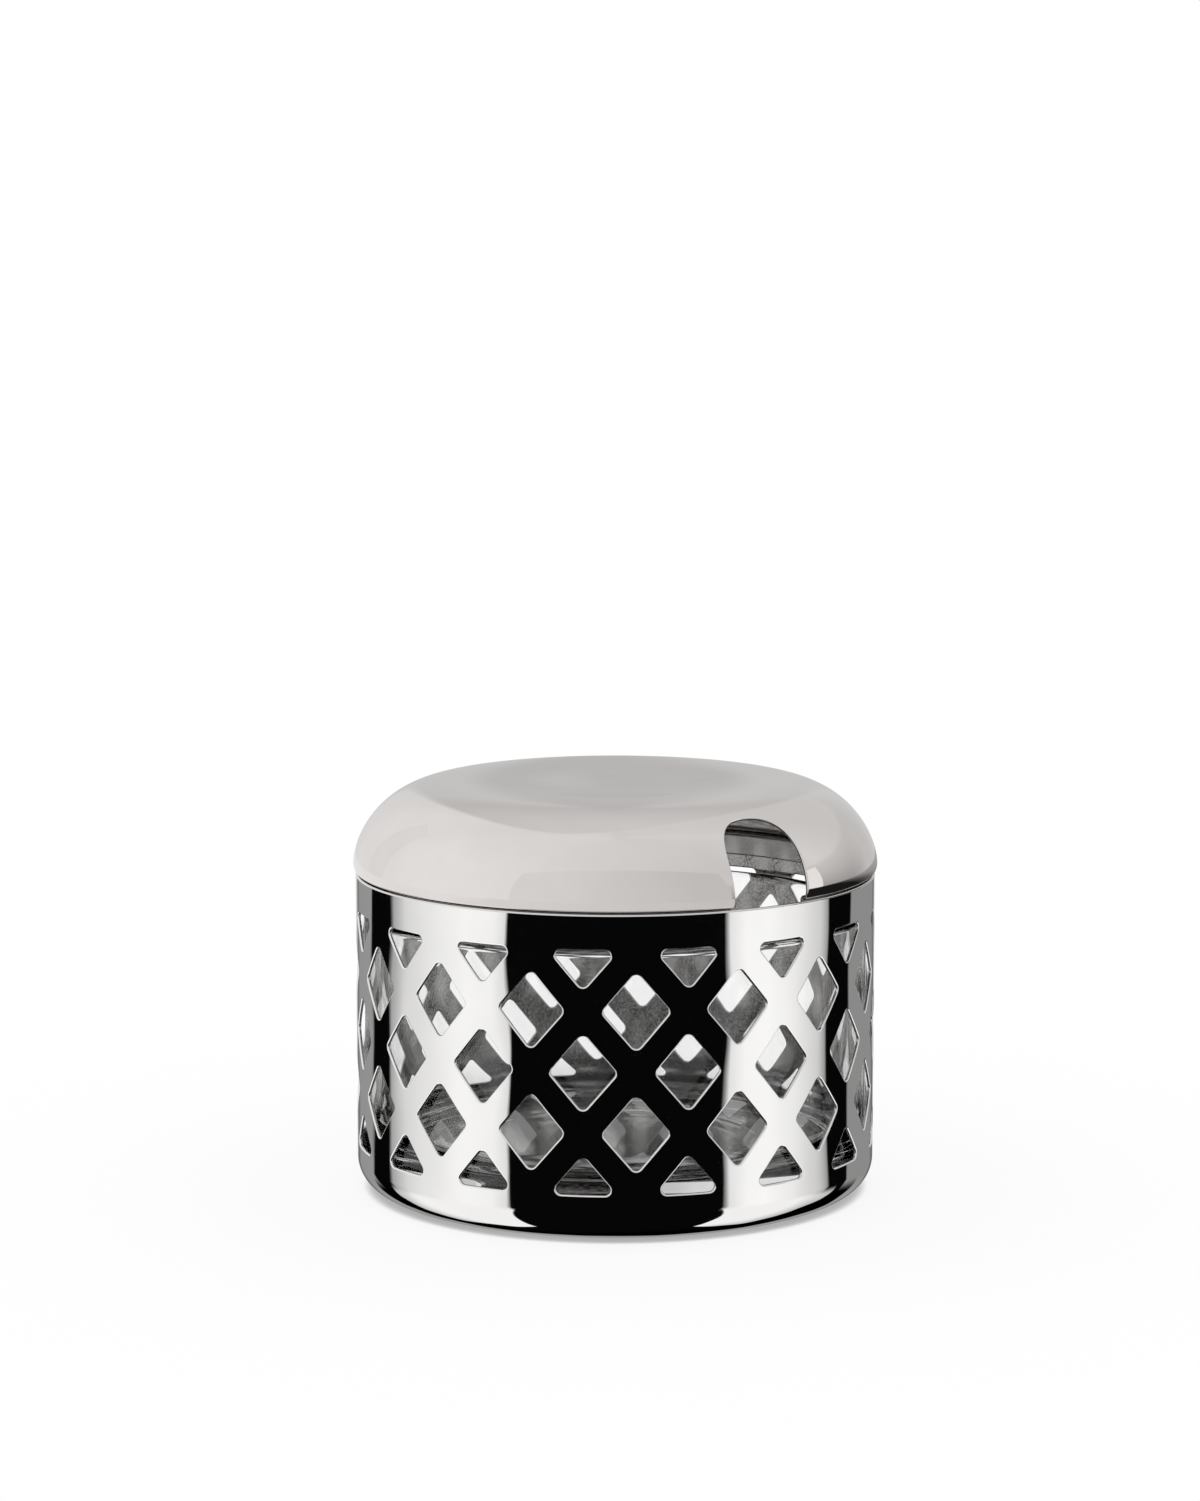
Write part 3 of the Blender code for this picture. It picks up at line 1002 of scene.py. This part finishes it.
def table_light(tree, across, ahead, up):
    """Steeply down: the table is light at both sides, with a dark line behind and grey further back."""
    aside = math_node(tree, "ABSOLUTE", across)
    down = times(tree, up, -1.0)
    turn = times(tree, ahead, left_right(tree, across, TABLE_FRONT_TURN))
    bend = math_node(tree, "MAXIMUM", turn, times(tree, ahead, TABLE_FRONT_BEND))
    front = math_node(tree, "MULTIPLY_ADD", down, -TABLE_FRONT_WIDTH, aside)
    front = math_node(tree, "SUBTRACT", front, bend)
    edge = times(tree, down, left_right(tree, across, TABLE_SIDE_DEPTH))
    side = math_node(tree, "MULTIPLY_ADD", aside, TABLE_SIDE_SLOPE, edge)
    behind = math_node(tree, "SUBTRACT", side, ahead)
    lit = times(tree, smooth(tree, front, *TABLE_FRONT_STEP), smooth(tree, behind, *TABLE_SIDE_STEP))
    lit = times(tree, lit, smooth(tree, behind, *TABLE_SIDE_FALL))
    far = math_node(tree, "MULTIPLY_ADD", aside, TABLE_FAR_SLOPE, times(tree, down, TABLE_FAR_DEPTH))
    grey = smooth(tree, math_node(tree, "SUBTRACT", ahead, far), *TABLE_FAR_STEP)
    return math_node(tree, "ADD", lit, grey)


def low_light(tree, share, across, ahead, up):
    """Below the horizon: soft boxes beside a dark front, the white backdrop far behind, and the table."""
    backdrop = smooth(tree, ahead, *LOW_BACKDROP)
    boxes = math_node(tree, "ADD", panels(tree, share, LOW_PANELS), backdrop)
    return blend(tree, smooth(tree, up, *TABLE_SHOWN), boxes, table_light(tree, across, ahead, up))


def card_light(tree, level, share, card, shown):
    """A card before the other light, between two azimuths, where it is shown."""
    (start, start_level), (end, end_level) = ((azimuth_share(azimuth), light) for azimuth, light in card)
    light = smooth(tree, share, start, end, start_level, end_level)
    within = times(tree, shown, math_node(tree, "GREATER_THAN", share, start))
    within = times(tree, within, math_node(tree, "LESS_THAN", share, end))
    return blend(tree, within, level, light)


def backdrop_reach(tree, across, ahead):
    """How far a direction lies from the middle of the dim backdrop, 1 being its edge."""
    lean = math_node(tree, "MULTIPLY_ADD", ahead, -BACKDROP_LEAN, BACKDROP_SHIFT)
    side = math_node(tree, "DIVIDE", math_node(tree, "ADD", across, lean), BACKDROP_WIDTH)
    deep = math_node(tree, "DIVIDE", math_node(tree, "SUBTRACT", ahead, BACKDROP_MIDDLE), BACKDROP_DEPTH)
    return math_node(tree, "ADD", times(tree, side, side), times(tree, deep, deep))


def right_dim(tree, across, up):
    """The right side is dimmer under a step in its light, and more so the lower down."""
    step = blend(tree, smooth(tree, across, *RIGHT_STEP_SIDE), 1.0, smooth(tree, up, *RIGHT_STEP))
    fall = blend(tree, smooth(tree, across, *RIGHT_FALL_SIDE), 1.0, straight(tree, up, *RIGHT_FALL))
    return times(tree, step, fall)


def high_light(tree, share, across, ahead, up):
    """Above the horizon: brightest at the left, cards in front and at the sides, and a dim backdrop."""
    zenith = straight(tree, up, *ZENITH_SHARE)
    level = blend(tree, zenith, panels(tree, share, HIGH_PANELS), ZENITH_LEVEL)
    level = times(tree, level, right_dim(tree, across, up))
    aside = smooth(tree, math_node(tree, "ABSOLUTE", across), *BACKDROP_SIDES)
    sides_low = smooth(tree, up, *BACKDROP_SIDES_LOW)
    backdrop = math_node(tree, "MULTIPLY_ADD", aside, sides_low, straight(tree, up, *BACKDROP_LEVEL))
    reach = backdrop_reach(tree, across, ahead)
    level = blend(tree, smooth(tree, reach, *BACKDROP_EDGE), level, backdrop)
    below = math_node(tree, "LESS_THAN", up, times(tree, ahead, -FRONT_CARD_SLOPE))
    level = card_light(tree, level, share, FRONT_CARD, below)
    for card, top in ((LEFT_CARD, LEFT_CARD_TOP), (SIDE_CARD, SIDE_CARD_TOP)):
        level = card_light(tree, level, share, card, math_node(tree, "LESS_THAN", up, top))
    return level


def make_world():
    """White for the camera, through glass and for matt surfaces; the studio's panels for reflections."""
    world = bpy.data.worlds.new("studio")
    bpy.context.scene.world = world
    world.use_nodes = True
    world.cycles.sampling_method = "NONE"
    tree = world.node_tree
    across, ahead, up = from_view(tree, add_node(tree, "ShaderNodeTexCoord").outputs["Generated"])
    share = turn_share(tree, across, ahead)
    low = low_light(tree, share, across, ahead, up)
    high = high_light(tree, share, across, ahead, up)
    studio = blend(tree, smooth(tree, up, *HORIZON), low, high)
    mirrored = add_node(tree, "ShaderNodeLightPath").outputs["Glossy Depth"]
    level = blend(tree, math_node(tree, "MINIMUM", mirrored, 1.0), 1.0, studio)
    background = tree.nodes["Background"].inputs
    tree.links.new(level, background["Strength"])
    background["Color"].default_value = WHITE


def make_table():
    """The white table, which the polished wall doesn't mirror."""
    side = TABLE_HALF_SIDE
    mesh = bpy.data.meshes.new("table")
    corners = [(-side, -side, 0.0), (side, -side, 0.0), (side, side, 0.0), (-side, side, 0.0)]
    mesh.from_pydata(corners, [], [(0, 1, 2, 3)])
    mesh.materials.append(table_material())
    table = bpy.data.objects.new("table", mesh)
    table.location.z = -TABLE_DROP
    table.visible_glossy = False
    bpy.context.scene.collection.objects.link(table)


def make_collar():
    """A flat ring level with the holder's rim that only the lid's mirrored edge sees."""
    skin = Skin()
    height = RIM_HEIGHT - COLLAR_DROP
    radii = (COLLAR_INSIDE, COLLAR_OUTSIDE)
    skin.rows([ring(skin, (radius, height, 0.0, 1.0), 0.0) for radius in radii])
    collar = skin.piece("collar", [collar_material()])
    collar.visible_camera = False
    collar.visible_diffuse = False
    collar.visible_transmission = False
    collar.visible_shadow = False


def make_camera():
    """The photo's point of view."""
    camera = bpy.data.cameras.new("view")
    camera.lens = VIEW_LENS
    camera.sensor_width = VIEW_SENSOR
    view = bpy.data.objects.new("view", camera)
    sine, cosine = math.sin(VIEW_AZIMUTH), math.cos(VIEW_AZIMUTH)
    x = VIEW_DISTANCE * sine - VIEW_LEFT * cosine
    y = -VIEW_DISTANCE * cosine - VIEW_LEFT * sine
    view.location = (x, y, VIEW_HEIGHT)
    view.rotation_euler = (math.pi / 2 - VIEW_PITCH, 0.0, VIEW_AZIMUTH)
    bpy.context.scene.collection.objects.link(view)
    bpy.context.scene.camera = view


def dress(piece, node, body):
    """A finished piece stands for a solid and moves with its body."""
    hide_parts(node)
    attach(piece, body)


def main():
    """The studio, and the three pieces in it."""
    bpy.context.scene.view_settings.view_transform = "Standard"
    make_camera()
    make_world()
    make_table()
    make_collar()
    dress(make_holder(), "pierced_holder", "holder")
    dress(make_bowl(), "glass_bowl", "bowl")
    dress(make_lid(), "lid", "lid")


main()
